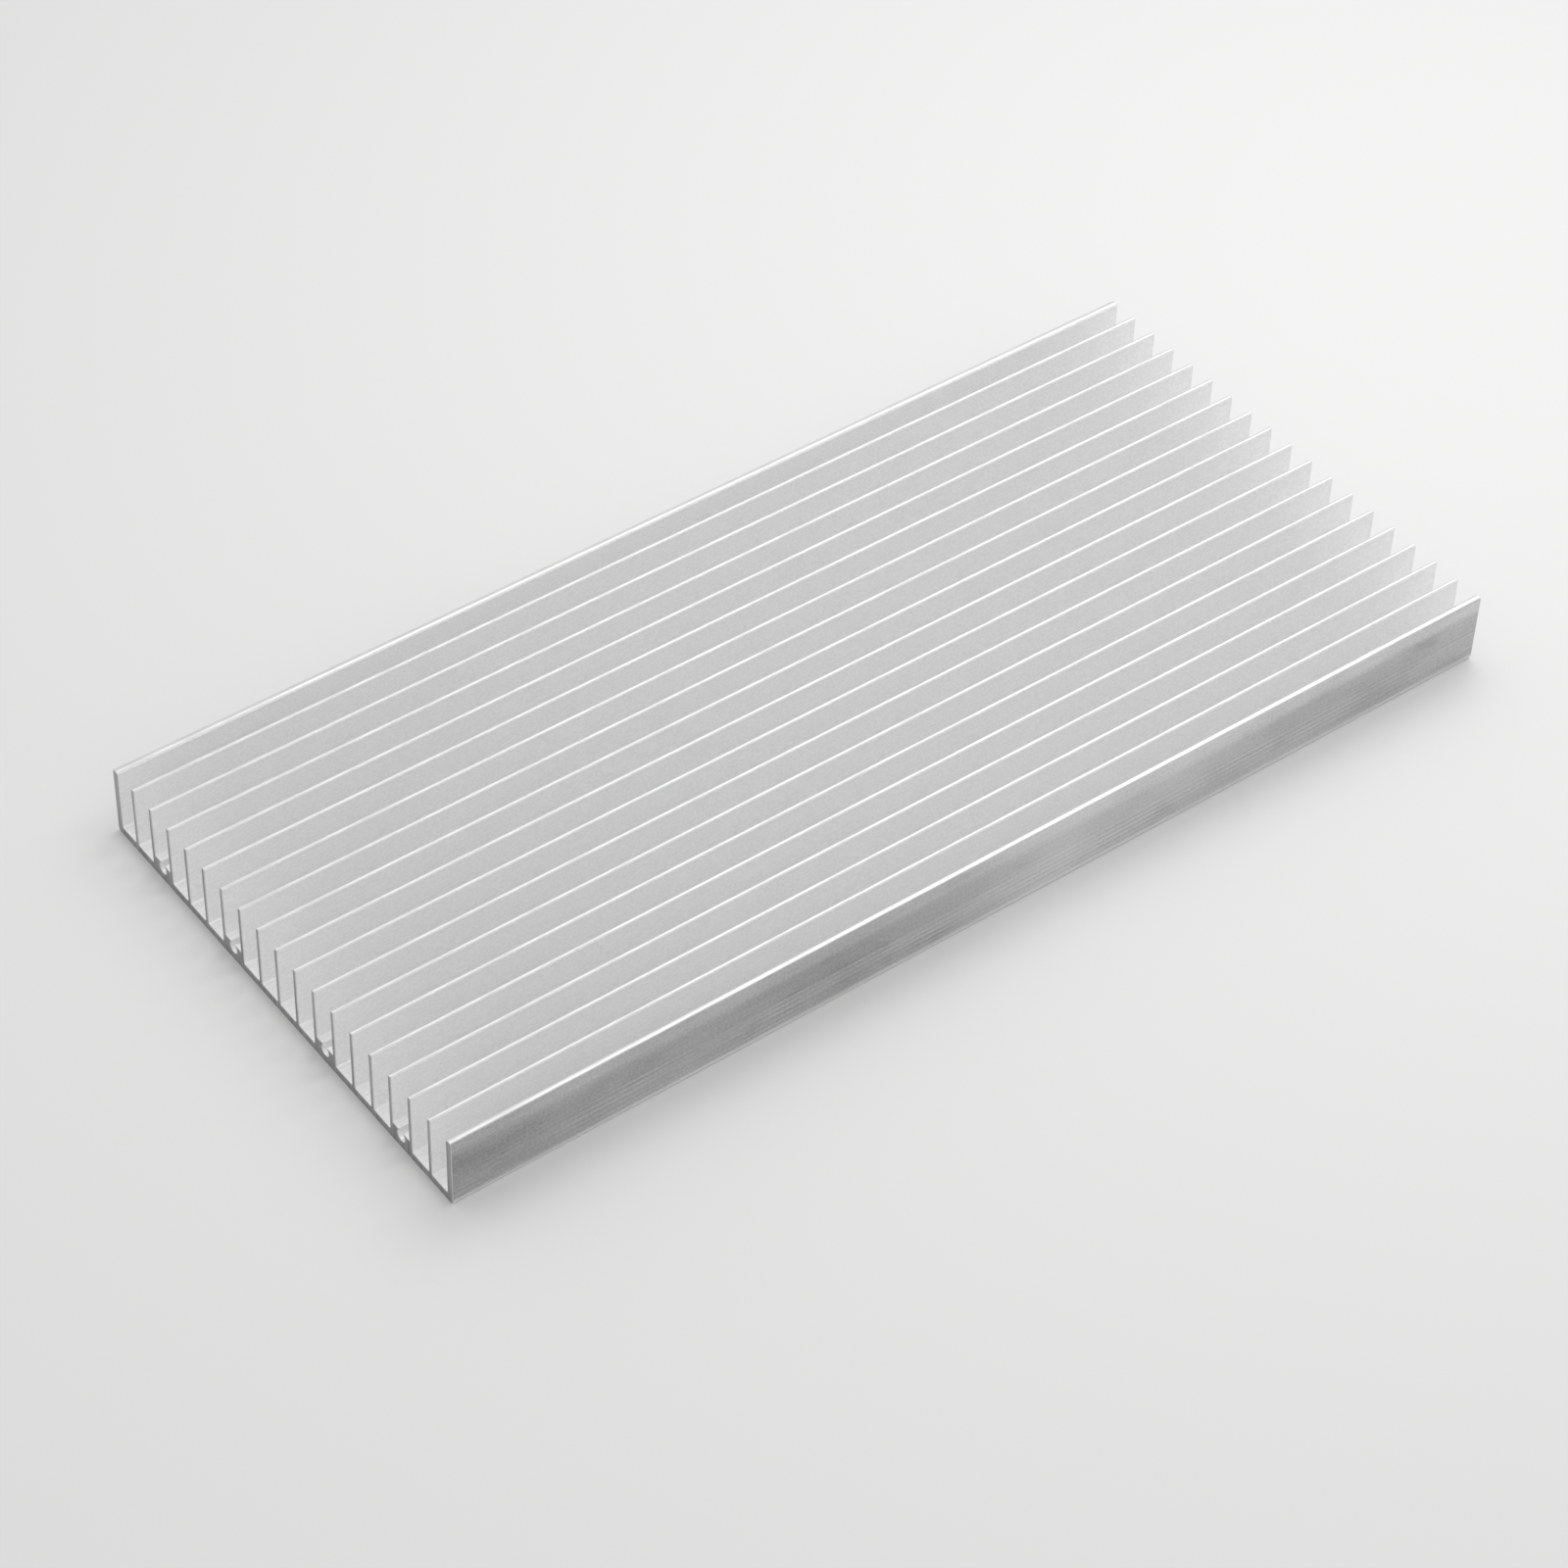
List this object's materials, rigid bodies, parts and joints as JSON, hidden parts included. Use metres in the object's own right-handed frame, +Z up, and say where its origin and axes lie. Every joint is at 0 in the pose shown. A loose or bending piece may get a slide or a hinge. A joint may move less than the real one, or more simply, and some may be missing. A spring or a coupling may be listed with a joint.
{
  "type": "heat sink",
  "caption": "Long flat aluminium heat sink, an extrusion with straight fins along its length and open screw channels between some fins, for cooling a device on its base.",
  "frame": {"origin": "centre of the flat underside", "axes": "+X along the fins, +Y across them, +Z up from the base to the fin tips"},
  "size_m": [0.3, 0.14, 0.02],
  "materials": {
    "aluminium": "satin mill finish with fine lengthwise lines, sawn ends"
  },
  "bodies": {
    "root": {"heat_sink": "aluminium"}
  },
  "joints": []
}
